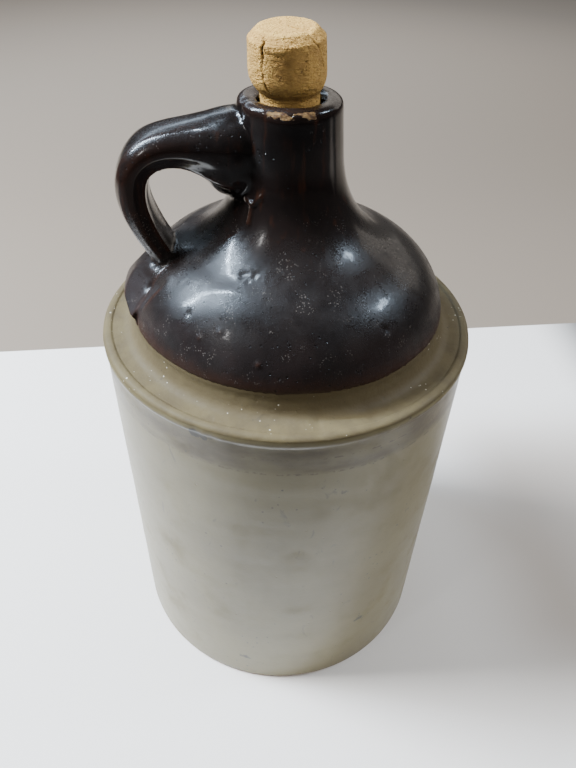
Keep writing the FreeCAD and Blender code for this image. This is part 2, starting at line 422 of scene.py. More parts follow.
class Recipe:
    """Builds the nodes of one material."""

    def __init__(self, name: str) -> None:
        """Starts an empty material that reads Object coordinates."""
        self.material = bpy.data.materials.new(name)
        self.material.use_nodes = True
        self.tree = self.material.node_tree
        self.tree.nodes.clear()
        self.place = self.node("ShaderNodeTexCoord").outputs["Object"]
        split = self.node("ShaderNodeSeparateXYZ", inputs={"Vector": self.place})
        self.x, self.y, self.z = (Signal(self, output) for output in split.outputs)
        self.radius = (self.x * self.x + self.y * self.y) ** 0.5

    def node(self, kind: str, settings: dict[str, Any] | None = None,
             inputs: dict[Any, Any] | None = None) -> bpy.types.Node:
        """Adds a node.

        Args:
            kind: The node's type name.
            settings: Its own settings, set first.
            inputs: Values, Signals or sockets for its inputs, by name or number.

        Returns:
            The node.
        """
        node = self.tree.nodes.new(kind)
        for key, value in (settings or {}).items():
            setattr(node, key, value)
        for key, value in (inputs or {}).items():
            if isinstance(value, Signal):
                value = value.socket
            if isinstance(value, bpy.types.NodeSocket):
                self.tree.links.new(value, node.inputs[key])
            else:
                node.inputs[key].default_value = value
        return node

    def math(self, operation: str, *values: "Signal | float") -> Signal:
        """Adds a Math node on one or two values."""
        node = self.node("ShaderNodeMath", {"operation": operation}, dict(enumerate(values)))
        return Signal(self, node.outputs[0])

    def kept(self, label: str) -> Signal:
        """The number that the mesh keeps at each point under a name."""
        return Signal(self, self.node("ShaderNodeAttribute", {"attribute_name": label})
                      .outputs["Fac"])

    def stretched(self, stretch: Sequence[float], offset: float) -> bpy.types.NodeSocket:
        """The place on the piece, moved and squeezed so that a pattern comes out longer.

        Args:
            stretch: How much longer along X, Y and Z.
            offset: How far the pattern is moved along each.

        Returns:
            The new place's socket.
        """
        node = self.node("ShaderNodeMapping", inputs={
            "Vector": self.place, "Location": (offset, offset, offset),
            "Scale": tuple(1.0 / part for part in stretch)})
        return node.outputs[0]

    def clouds(self, size: float, detail: float = 3.0, offset: float = 0.0,
               stretch: Sequence[float] = (1.0, 1.0, 1.0), warp: float = 0.0) -> Signal:
        """Cloudy noise.

        Args:
            size: Width of one lump in metres.
            detail: How many finer layers are added.
            offset: Where in the noise to read.
            stretch: How much longer than size the lumps are along X, Y and Z.
            warp: How far the noise distorts itself.

        Returns:
            A value of 0 to 1.
        """
        node = self.node("ShaderNodeTexNoise", inputs={
            "Vector": self.stretched(stretch, offset), "Scale": 1.0 / size, "Detail": detail,
            "Roughness": 0.55, "Distortion": warp})
        return Signal(self, node.outputs[0])

    def cells(self, size: float, offset: float) -> Signal:
        """Distance to the nearest of scattered points.

        Args:
            size: About how far apart the points lie, in metres.
            offset: Where in the pattern to read.

        Returns:
            The distance in sizes.
        """
        node = self.node("ShaderNodeTexVoronoi", inputs={
            "Vector": self.stretched((1.0, 1.0, 1.0), offset), "Scale": 1.0 / size})
        return Signal(self, node.outputs["Distance"])

    def specks(self, spacing: float, share: float, offset: float, patches: float) -> Signal:
        """Scattered round spots, thicker in some patches than in others.

        Args:
            spacing: Distance between spots in metres.
            share: Radius of the largest spots as a share of the spacing.
            offset: Where in the pattern to read.
            patches: Width of the patches in metres.

        Returns:
            1 in a spot and 0 outside it.
        """
        room = self.clouds(patches, 2.0, offset + 3.0).between(0.42, 0.68, 0.0, share)
        return (room - self.cells(spacing, offset)).between(0.0, share * 0.4)

    def blend(self, factor: Signal, first: Any, second: Any) -> bpy.types.NodeSocket:
        """Mixes two colours, each a colour or a socket.

        Args:
            factor: 0 gives the first and 1 the second.
            first: The one below.
            second: The one laid over it.

        Returns:
            The mixed colour's socket.
        """
        node = self.node("ShaderNodeMix", {"data_type": "RGBA"},
                         {0: factor, 6: first, 7: second})
        return node.outputs[2]

    def raised(self, height: Signal, depth: float, below: Any = None) -> bpy.types.NodeSocket:
        """A normal bumped by a height.

        Args:
            height: 0 to 1.
            depth: Metres that a height of 1 stands for.
            below: The normal that this one goes over, if any.

        Returns:
            The new normal's socket.
        """
        inputs: dict[Any, Any] = {"Height": height, "Distance": depth, "Strength": 1.0}
        if below is not None:
            inputs["Normal"] = below
        return self.node("ShaderNodeBump", inputs=inputs).outputs[0]

    def finish(self, color: Any, roughness: Any, normal: Any, coat: Any = 0.0,
               coat_roughness: float = 0.05, specular: float = 0.5) -> bpy.types.Material:
        """Ends the recipe with one shader.

        Args:
            color: The base colour, a colour or a socket.
            roughness: A number or a Signal.
            normal: The normal's socket.
            coat: Weight of the clear coat, a number or a Signal.
            coat_roughness: The coat's own roughness.
            specular: Strength of the base's mirror.

        Returns:
            The material.
        """
        shader = self.node("ShaderNodeBsdfPrincipled", inputs={
            "Base Color": color, "Roughness": roughness, "Normal": normal,
            "Coat Weight": coat, "Coat Roughness": coat_roughness,
            "Specular IOR Level": specular})
        self.node("ShaderNodeOutputMaterial", inputs={"Surface": shader.outputs[0]})
        return self.material


def rgb(red: float, green: float, blue: float) -> Color:
    """A solid colour."""
    return (red, green, blue, 1.0)


# --- finishes ------------------------------------------------------------------------------


@dataclass(frozen=True)
class CreamGlaze:
    """Thin cream-grey glaze on stoneware, duller and dirtier on the ledge, with painted shade and a
    painted reflection of the dark dome in the cove by the collar.
    """

    wall: Color = rgb(0.189, 0.164, 0.081)
    wall_shade: Color = rgb(0.159, 0.135, 0.065)
    ledge: Color = rgb(0.128, 0.106, 0.056)
    # the ledge's darker tone, for its dirt and for the painted shade in the cove
    ledge_dirt_and_cove_shade: Color = rgb(0.100, 0.081, 0.046)
    band: Color = rgb(0.066, 0.046, 0.019)
    speck: Color = rgb(0.060, 0.052, 0.038)
    scuff: Color = rgb(0.018, 0.015, 0.012)
    pale_speck: Color = rgb(0.620, 0.600, 0.520)
    foot: Color = rgb(0.200, 0.105, 0.060)
    band_low: float = 179.0 * MM
    band_line: float = 187.5 * MM
    band_high: float = 195.0 * MM
    band_wander: float = 3 * MM
    ledge_height: float = 198.8 * MM
    ledge_edge: tuple[float, float] = (-1.6 * MM, -0.5 * MM)    # off the ledge's height
    worn_edge: tuple[float, float] = (-4.5 * MM, -1.6 * MM)
    collar_radius: float = 73.0 * MM
    # how far out from the collar the painted cove shade reaches
    cove_shade_reach: float = 5 * MM
    foot_edge: tuple[float, float] = (1.9 * MM, 0.6 * MM)

    def material(self) -> bpy.types.Material:
        """Builds the finish."""
        mix = Recipe("cream_glaze")
        broad = mix.clouds(45 * MM, 3.0, 1.7)
        fine = mix.clouds(4 * MM, 5.0, 5.1)
        color = mix.blend(broad.between(0.35, 0.65), self.wall, self.wall_shade)
        streaks = mix.clouds(9 * MM, 3.0, 2.2, (1.0, 1.0, 7.0))
        color = mix.blend(streaks.between(0.45, 0.75) * 0.30, color, self.wall_shade)
        on_ledge = mix.z.between(*(self.ledge_height + edge for edge in self.ledge_edge))
        dirt = mix.clouds(12 * MM, 5.0, 8.3, warp=0.6)
        ledge = mix.blend(dirt.between(0.35, 0.7), self.ledge, self.ledge_dirt_and_cove_shade)
        # Painted shade and a painted reflection of the dark dome darken the ledge towards the cove
        # at the collar.
        cove_shade_and_reflection = mix.radius.between(self.collar_radius + self.cove_shade_reach,
                                         self.collar_radius)
        ledge = mix.blend(cove_shade_and_reflection * 0.75, ledge, self.ledge_dirt_and_cove_shade)
        color = mix.blend(on_ledge, color, ledge)
        color = mix.blend(self.band_mask(mix), color, self.band)
        spots = mix.specks(4.5 * MM, 0.17, 4.0, 26 * MM)
        pale = mix.specks(2.6 * MM, 0.19, 9.0, 14 * MM) * on_ledge * 0.8
        pitted = mix.specks(2.2 * MM, 0.19, 21.0, 12 * MM) * on_ledge * 0.7
        color = mix.blend(spots * 0.8, color, self.speck)
        color = mix.blend(pitted, color, self.speck)
        smudge = mix.clouds(7 * MM, 6.0, 19.0, (1.0, 1.0, 2.2), warp=1.2).between(0.64, 0.74)
        color = mix.blend(smudge * 0.45, color, self.speck)
        rubbed = (mix.kept("scuff") * 1.3 + (fine - 0.5) * 1.2).between(0.40, 0.70)
        color = mix.blend(rubbed * 0.85, color, self.scuff)
        color = mix.blend(pale, color, self.pale_speck)
        color = mix.blend((fine - 0.5).between(0.0, 0.35) * 0.25, color, self.wall_shade)
        at_foot = mix.z.between(*self.foot_edge)
        color = mix.blend(at_foot * 0.85, color, self.foot)
        worn = mix.z.between(*(self.ledge_height + edge for edge in self.worn_edge))
        dulled = mix.clouds(22 * MM, 6.0, 11.0).between(0.5, 0.75)
        roughness = 0.32 + dulled * 0.16 + worn * 0.26 + fine * 0.08
        ripples = mix.clouds(1.6 * MM, 3.0, 6.0)
        pits = mix.specks(5 * MM, 0.12, 13.0, 20 * MM)
        normal = mix.raised(ripples, 0.05 * MM)
        normal = mix.raised(1.0 - pits, 0.25 * MM, normal)
        normal = mix.raised(fine * on_ledge, 0.30 * MM, normal)
        return mix.finish(color, roughness, normal, coat=(1.0 - worn) * 0.12, coat_roughness=0.22)

    def band_mask(self, mix: Recipe) -> Signal:
        """The brown-grey band under the lip, with a fine line in it and one that ends it.

        Args:
            mix: The recipe that the band goes into.

        Returns:
            1 in the band and 0 beside it.
        """
        ragged = mix.z + (mix.clouds(10 * MM, 4.0, 14.0) - 0.5) * self.band_wander
        inside = ragged.between(self.band_low - 1.5 * MM, self.band_low + 2.5 * MM)
        inside = inside * ragged.between(self.band_high + 2 * MM, self.band_high)
        patchy = mix.clouds(30 * MM, 4.0, 15.0, (1.0, 1.0, 0.4)).between(0.30, 0.66, 0.20, 0.90)
        dotted = mix.clouds(3 * MM, 2.0, 16.0).between(0.42, 0.62)
        low_line = abs(mix.z - self.band_low).between(0.9 * MM, 0.2 * MM) * dotted
        line = abs(mix.z - self.band_line).between(0.7 * MM, 0.2 * MM) * dotted
        return (inside * patchy).most(low_line * 0.7).most(line * 0.9)


@dataclass(frozen=True)
class DarkSlip:
    """Near-black brown slip glaze, redder where it lies thin, with pits and chips, a grey that is
    partly dust and partly painted sheen, and a painted floor reflection low on the dome.
    """

    thick: Color = rgb(0.0050, 0.0040, 0.0042)
    brown: Color = rgb(0.0105, 0.0072, 0.0068)
    thin: Color = rgb(0.050, 0.018, 0.009)
    # a grey that is partly a dust film and partly painted sheen
    dust_sheen_grey: Color = rgb(0.019, 0.0168, 0.0168)
    # purplish tone, brightened as a painted reflection of the pale floor
    plum_and_floor_reflection: Color = rgb(0.0230, 0.0145, 0.0145)
    dust: Color = rgb(0.15, 0.138, 0.128)
    clay: Color = rgb(0.230, 0.145, 0.060)
    clay_dark: Color = rgb(0.070, 0.036, 0.018)
    edge_height: float = 208.3 * MM
    thin_reach: float = 9.0 * MM
    edge_wander: float = 6 * MM
    dome_span: tuple[float, float] = (266 * MM, 238 * MM)      # the haze comes in going down
    plum_reflection_span: tuple[float, float] = (232 * MM, 212 * MM)
    foot_span: tuple[float, float] = (228 * MM, 212 * MM)      # the dome's dull lower part

    def material(self) -> bpy.types.Material:
        """Builds the finish."""
        mix = Recipe("dark_slip")
        broad = mix.clouds(28 * MM, 4.0, 1.3)
        fine = mix.clouds(2.5 * MM, 5.0, 6.2)
        color = mix.blend(broad.between(0.38, 0.66), self.thick, self.brown)
        # Grey over the dome and up-facing parts: partly a dust film, partly painted sheen standing
        # in for hazy reflection.
        dust_sheen_patches = mix.clouds(18 * MM, 5.0, 3.4, warp=0.5).between(0.42, 0.72)
        on_dome = mix.z.between(*self.dome_span).most(mix.kept("dust_and_sheen") * 0.8)
        color = mix.blend((dust_sheen_patches * 0.6 + 0.25) * on_dome, color, self.dust_sheen_grey)
        ragged = mix.z + (fine - 0.5) * self.edge_wander
        low = ragged.between(self.edge_height + self.thin_reach, self.edge_height)
        # Purplish tone low on the dome, brightened as a painted reflection of the pale floor.
        purple_and_painted_reflection = mix.z.between(*self.plum_reflection_span) * broad.between(0.3, 0.6)
        color = mix.blend(purple_and_painted_reflection * 0.7, color, self.plum_and_floor_reflection)
        thinned = (mix.kept("crest") * (0.05 + fine * 0.8)).most(low * 0.45)
        color = mix.blend(thinned.least(1.0), color, self.thin)
        runs = mix.clouds(3 * MM, 3.0, 17.0, (1.0, 1.0, 9.0)).between(0.55, 0.75)
        color = mix.blend(runs * (1.0 - on_dome) * 0.5, color, self.thin)
        dust = mix.specks(1.0 * MM, 0.34, 4.4, 8 * MM)
        color = mix.blend(dust * on_dome * 0.5, color, self.dust)
        pits = mix.specks(2.4 * MM, 0.26, 2.9, 15 * MM)
        color = mix.blend(pits * 0.6, color, self.thick)
        bare = mix.kept("bare")
        clay = mix.blend(mix.clouds(1.8 * MM, 4.0, 7.7).between(0.4, 0.65), self.clay,
                         self.clay_dark)
        chipped = (bare + (fine - 0.5) * 0.5).between(0.45, 0.6)
        color = mix.blend(chipped, color, clay)
        scuffed = mix.clouds(9 * MM, 6.0, 12.0, warp=0.8).between(0.40, 0.70)
        near_foot = mix.z.between(*self.foot_span)
        roughness = 0.15 + on_dome * (0.11 + scuffed * 0.10) + near_foot * 0.18
        grain = mix.clouds(0.8 * MM, 3.0, 21.0).between(0.42, 0.58)
        roughness = roughness + chipped * 0.4 + dust * 0.1 + grain * on_dome * 0.08
        grit = mix.specks(1.1 * MM, 0.24, 10.5, 11 * MM) * on_dome
        normal = mix.raised(mix.clouds(7 * MM, 2.0, 5.5), 0.10 * MM)
        normal = mix.raised(1.0 - pits, 0.25 * MM, normal)
        normal = mix.raised(grit, 0.14 * MM, normal)
        tooth = mix.clouds(0.55 * MM, 3.0, 12.5)
        normal = mix.raised(tooth * on_dome, 0.085 * MM, normal)
        normal = mix.raised(mix.clouds(0.9 * MM, 4.0, 7.1) * chipped, 0.5 * MM, normal)
        coat = (1.0 - chipped) * (0.65 - on_dome * (0.10 + scuffed * 0.25 + grain * 0.28))
        coat = coat * (1.0 - near_foot)
        return mix.finish(color, roughness, normal, coat=coat, coat_roughness=0.12)


@dataclass(frozen=True)
class CorkBark:
    """Old natural cork: golden tan, crumbly, stained, with dark open cracks."""

    tan: Color = rgb(0.560, 0.345, 0.105)
    brown: Color = rgb(0.400, 0.235, 0.078)
    pale: Color = rgb(0.720, 0.480, 0.145)
    stain: Color = rgb(0.170, 0.092, 0.034)
    crack: Color = rgb(0.035, 0.018, 0.008)

    def material(self) -> bpy.types.Material:
        """Builds the finish."""
        mix = Recipe("cork_bark")
        crumbs = mix.clouds(0.9 * MM, 4.0, 1.1)
        broad = mix.clouds(5 * MM, 5.0, 4.2)
        grain = mix.clouds(1.6 * MM, 4.0, 9.2, (1.0, 1.0, 0.45))
        color = mix.blend(broad.between(0.38, 0.68) * 0.7, self.tan, self.brown)
        color = mix.blend(grain.between(0.50, 0.68) * 0.55, color, self.pale)
        color = mix.blend(crumbs.between(0.47, 0.36) * 0.75, color, self.brown)
        color = mix.blend(crumbs.between(0.58, 0.70) * 0.6, color, self.pale)
        color = mix.blend(mix.kept("fresh").least(1.0) * 0.5, color, self.pale)
        pores = mix.specks(1.5 * MM, 0.30, 3.3, 5 * MM)
        color = mix.blend(pores * 0.75, color, self.stain)
        color = mix.blend(mix.kept("stain").least(1.0) * (0.55 + crumbs * 0.6), color, self.stain)
        color = mix.blend(mix.kept("crack").least(1.0), color, self.crack)
        flakes = mix.clouds(2.6 * MM, 5.0, 14.2, (1.0, 1.0, 0.35), warp=0.7)
        normal = mix.raised(crumbs, 0.60 * MM)
        normal = mix.raised(1.0 - pores, 0.5 * MM, normal)
        normal = mix.raised(grain, 0.6 * MM, normal)
        normal = mix.raised(flakes, 0.9 * MM, normal)
        return mix.finish(color, 0.85, normal, specular=0.25)


@dataclass(frozen=True)
class TableTop:
    """The stage's matte floor.

    It is pale round the jug, with a painted shadow at the right, browner behind a straight line and
    lighter far back as painted light, and dark far in front and far to the sides as painted shade
    that the glaze mirrors.
    """

    pale: Color = rgb(0.90, 0.90, 0.905)
    behind: Color = rgb(0.240, 0.207, 0.174)
    # painted shade far in front and to the sides, for the glossy glaze to mirror
    before: Color = rgb(0.045, 0.045, 0.045)
    # painted light: lighter far back to make up for the light falling off
    far_painted_light: Color = rgb(0.60, 0.53, 0.46)
    line_at: float = 239 * MM           # along Y, on the axis
    line_slope: float = 0.027
    dim_from: float = -150 * MM
    dim_to: float = -290 * MM
    dim_beside: tuple[float, float] = (265 * MM, 345 * MM)
    # Painted shadow at the right of the jug: its colour, where it lies and how strong.
    shade: Color = rgb(0.46, 0.41, 0.365)
    shade_beside: tuple[float, float] = (100 * MM, 190 * MM)
    shade_before: tuple[float, float] = (-130 * MM, -60 * MM)
    shade_behind: tuple[float, float] = (150 * MM, 60 * MM)
    shade_strength: float = 0.8
    far_from: float = 500 * MM
    far_to: float = 1900 * MM

    def material(self) -> bpy.types.Material:
        """Builds the finish, with a little tooth so that it isn't dead flat."""
        mix = Recipe("table_top")
        past = (mix.y - mix.x * self.line_slope - self.line_at).between(-0.5 * MM, 0.5 * MM)
        # Lighter far back: painted light that makes up for the light falling off with distance.
        behind = mix.blend(mix.y.between(self.far_from, self.far_to), self.behind,
                           self.far_painted_light)
        # Dark far in front and far to the sides: painted shade, so that the glossy glaze mirrors
        # darkness there.
        color = mix.blend(mix.y.between(self.dim_from, self.dim_to), self.pale, self.before)
        color = mix.blend(abs(mix.x).between(*self.dim_beside), color, self.before)
        # Painted shadow on the floor at the right of the jug.
        painted_shadow = mix.x.between(*self.shade_beside) * mix.y.between(*self.shade_before)
        painted_shadow = painted_shadow * mix.y.between(*self.shade_behind)
        color = mix.blend(painted_shadow * self.shade_strength, color, self.shade)
        color = mix.blend(past, color, behind)
        tooth = mix.clouds(0.6 * MM, 3.0)
        return mix.finish(color, 0.7, mix.raised(tooth, 0.02 * MM), specular=0.3)


# --- the jug -------------------------------------------------------------------------------


@dataclass
class CreamBody:
    """The thrown body up to the glaze line: foot, straight wall, lip, ledge and collar."""

    radius: float = 85.0 * MM
    ledge_height: float = 198.8 * MM
    foot_round: float = 2.0 * MM
    lip_stand: float = 0.6 * MM
    lip_rise: float = 0.6 * MM
    lip_depth: float = 5.2 * MM
    lip_width: float = 3.8 * MM
    lip_round: float = 2.4 * MM
    cove_round: float = 3.5 * MM
    collar_spread: float = 2.5 * MM
    dome_radius: float = 70.5 * MM
    collar_rise: float = 7.2 * MM
    hidden_rise: float = 5.0 * MM       # how far the wall goes on under the slip
    hidden_set_in: float = 0.6 * MM     # how far it lies behind the slip's face
    wall: float = 7.0 * MM
    floor: float = 8.0 * MM
    ledge_thickness: float = 7.5 * MM
    inside_round: float = 8.0 * MM
    throwing_rings: float = 0.10 * MM   # depth of the soft rings left by turning
    unevenness: float = 0.22 * MM
    lip_waver: float = 0.16 * MM
    even_foot: tuple[float, float] = (0.5 * MM, 6 * MM)     # heights between which it sets in
    steps: int = 288
    ring: float = 2.2 * MM

    def outline(self) -> list[Corner]:
        """The turned outline, up the outside and down the inside."""
        dome_base = self.ledge_height + self.collar_rise
        crest = self.ledge_height + self.lip_rise
        top = dome_base + self.hidden_rise
        inner = self.radius - self.wall
        ceiling = self.ledge_height - self.ledge_thickness
        throat = self.dome_radius - self.wall
        lip_face = self.radius + self.lip_stand
        return [
            Corner(0.0, 0.0),
            Corner(self.radius, 0.0, self.foot_round),
            Corner(self.radius, crest - self.lip_depth, 0.8 * MM),
            Corner(lip_face, crest - self.lip_depth + 1.0 * MM, 0.8 * MM),
            Corner(lip_face, crest, self.lip_round),
            Corner(lip_face - self.lip_width, crest, 0.5 * MM),
            Corner(lip_face - self.lip_width - 0.7 * MM, self.ledge_height, 0.4 * MM),
            Corner(self.dome_radius + self.collar_spread, self.ledge_height, self.cove_round),
            Corner(self.dome_radius, dome_base, 1.5 * MM),
            Corner(self.dome_radius, dome_base + 1.6 * MM),
            Corner(self.dome_radius - self.hidden_set_in, top),
            Corner(throat, top),
            Corner(throat, ceiling, 2.0 * MM),
            Corner(inner, ceiling, self.inside_round),
            Corner(inner, self.floor, self.inside_round),
            Corner(0.0, self.floor),
        ]

    def build(self) -> bpy.types.Object:
        """Turns the body and gives it the soft unevenness of a thrown and worn pot."""
        bm = turned(self.outline(), self.steps, self.ring)
        places, normals = points_of(bm)
        uneven = lumps(places, 55 * MM, 3.1) * self.unevenness
        rings = lumps(places, 7 * MM, 8.2, (12.0, 12.0, 1.0)) * self.throwing_rings
        around = lumps(places, 14 * MM, 5.7, (1.0, 1.0, 0.5)) * self.lip_waver
        near_lip = bell(places[:, 2] - self.ledge_height, 4 * MM)
        standing = eased(places[:, 2], *self.even_foot)
        shift = (uneven + rings + around * near_lip) * standing
        scratch = self.scratch_depth(places)
        put_points(bm, places + normals * (shift - scratch)[:, None])
        return piece_from(bm, "cream_body", {"scuff": self.scuffs(places)})

    def scuffs(self, places: np.ndarray) -> np.ndarray:
        """Where the wall carries dark scuffs and old dirt, 0 to 1.

        Args:
            places: Points in metres, one row each.

        Returns:
            A number for each point.
        """
        marks = (
            Dent(-120.5, 193.8 * MM, 2.4 * MM, 1.0),
            Dent(-117.5, 193.0 * MM, 1.8 * MM, 0.9),
            Dent(-114.8, 192.6 * MM, 1.3 * MM, 0.7),
            Dent(-78.0, 164.0 * MM, 3.2 * MM, 0.45),
            Dent(-101.0, 147.0 * MM, 1.4 * MM, 0.5),
            Dent(-64.0, 47.0 * MM, 2.8 * MM, 0.7),
            Dent(-66.5, 45.0 * MM, 1.8 * MM, 0.6),
            Dent(-107.0, 20.0 * MM, 2.6 * MM, 0.65),
            Dent(-109.5, 20.5 * MM, 1.8 * MM, 0.6),
            Dent(-52.0, 176.0 * MM, 1.3 * MM, 0.6),
            Dent(60.0, 120.0 * MM, 2.4 * MM, 0.6),
            Dent(130.0, 60.0 * MM, 2.0 * MM, 0.6),
        )
        return np.clip(sum(mark.depth_at(places) for mark in marks), 0.0, 1.0)

    def scratch_depth(self, places: np.ndarray) -> np.ndarray:
        """Depth of the pits by the collar and of the nicks in the lip.

        Args:
            places: Points in metres, one row each.

        Returns:
            Metres for each point.
        """
        marks = (
            Dent(-96.6, 200.6 * MM, 1.1 * MM, 0.5 * MM),
            Dent(-86.1, 199.6 * MM, 1.3 * MM, 0.5 * MM),
            Dent(-119.5, 196.0 * MM, 2.2 * MM, 0.5 * MM),
            Dent(-115.3, 195.4 * MM, 1.6 * MM, 0.4 * MM),
            Dent(-70.0, 198.8 * MM, 2.5 * MM, 0.4 * MM),
        )
        return sum(mark.depth_at(places) for mark in marks)

    def dress(self, piece: bpy.types.Object) -> None:
        """Gives the body its glaze and its place in the frame."""
        piece.data.materials.append(CreamGlaze().material())
        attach(piece, "root")


@dataclass
class Strap:
    """The pulled handle's centre line, from the neck over the arch and down to the dome."""

    neck_radius: float = 20.0 * MM
    root_height: float = RIM_Z - 21.5 * MM
    reach: float = 63.9 * MM
    reach_height: float = RIM_Z - 37.0 * MM
    arch_rise: float = 6.5 * MM
    arch_run: float = 19.0 * MM
    arch_shoulder: float = 24.0 * MM
    descent_pull: float = 9.0 * MM
    foot: tuple[float, float] = (52.6 * MM, 232.4 * MM)
    landing_lean: float = 33.0
    landing_pull: float = 8.0 * MM
    width: float = 25.0 * MM
    thickness_top: float = 16.0 * MM
    thickness_foot: float = 9.2 * MM
    samples: int = 60

    def line(self) -> np.ndarray:
        """Points of the centre line in the XZ plane: distance towards -X, and height."""
        root = np.array((self.neck_radius, self.root_height))
        outermost = np.array((self.reach, self.reach_height))
        foot = np.array(self.foot)
        lean = math.radians(self.landing_lean)
        rising = np.array((math.sin(lean), math.cos(lean)))
        t = np.linspace(0.0, 1.0, self.samples)
        arch = bezier((root, root + (self.arch_run, self.arch_rise),
                       outermost + (0.0, self.arch_shoulder), outermost), t)
        descent = bezier((outermost, outermost - (0.0, self.descent_pull),
                          foot + rising * self.landing_pull, foot), t)
        return np.vstack((arch, descent[1:]))

    def coordinates(self, places: np.ndarray) -> tuple[np.ndarray, np.ndarray, np.ndarray]:
        """Where each point lies on the strap.

        Args:
            places: Points in metres, one row each.

        Returns:
            How far along the strap (0 at the neck, 1 at the dome), the angle round its section
            (degrees: 90 on the outside, -90 in the finger gap, 0 at the side's middle, the same
            on both sides), and how far out of the centre line in half sizes.
        """
        line = self.line()
        flat = np.column_stack((-places[:, 0], places[:, 2]))
        gaps = ((flat[:, None, :] - line[None, :, :]) ** 2).sum(axis=2)
        nearest = gaps.argmin(axis=1)
        along = nearest / (len(line) - 1)
        tangent = np.gradient(line, axis=0)
        tangent /= np.linalg.norm(tangent, axis=1)[:, None]
        outward = np.column_stack((-tangent[:, 1], tangent[:, 0]))
        off = ((flat - line[nearest]) * outward[nearest]).sum(axis=1)
        thickness = self.thickness_top + (self.thickness_foot - self.thickness_top) * along
        across = np.abs(places[:, 1]) / (self.width / 2)
        through = off / (thickness / 2)
        angle = np.degrees(np.arctan2(through, across))
        return along, angle, np.hypot(across, through)


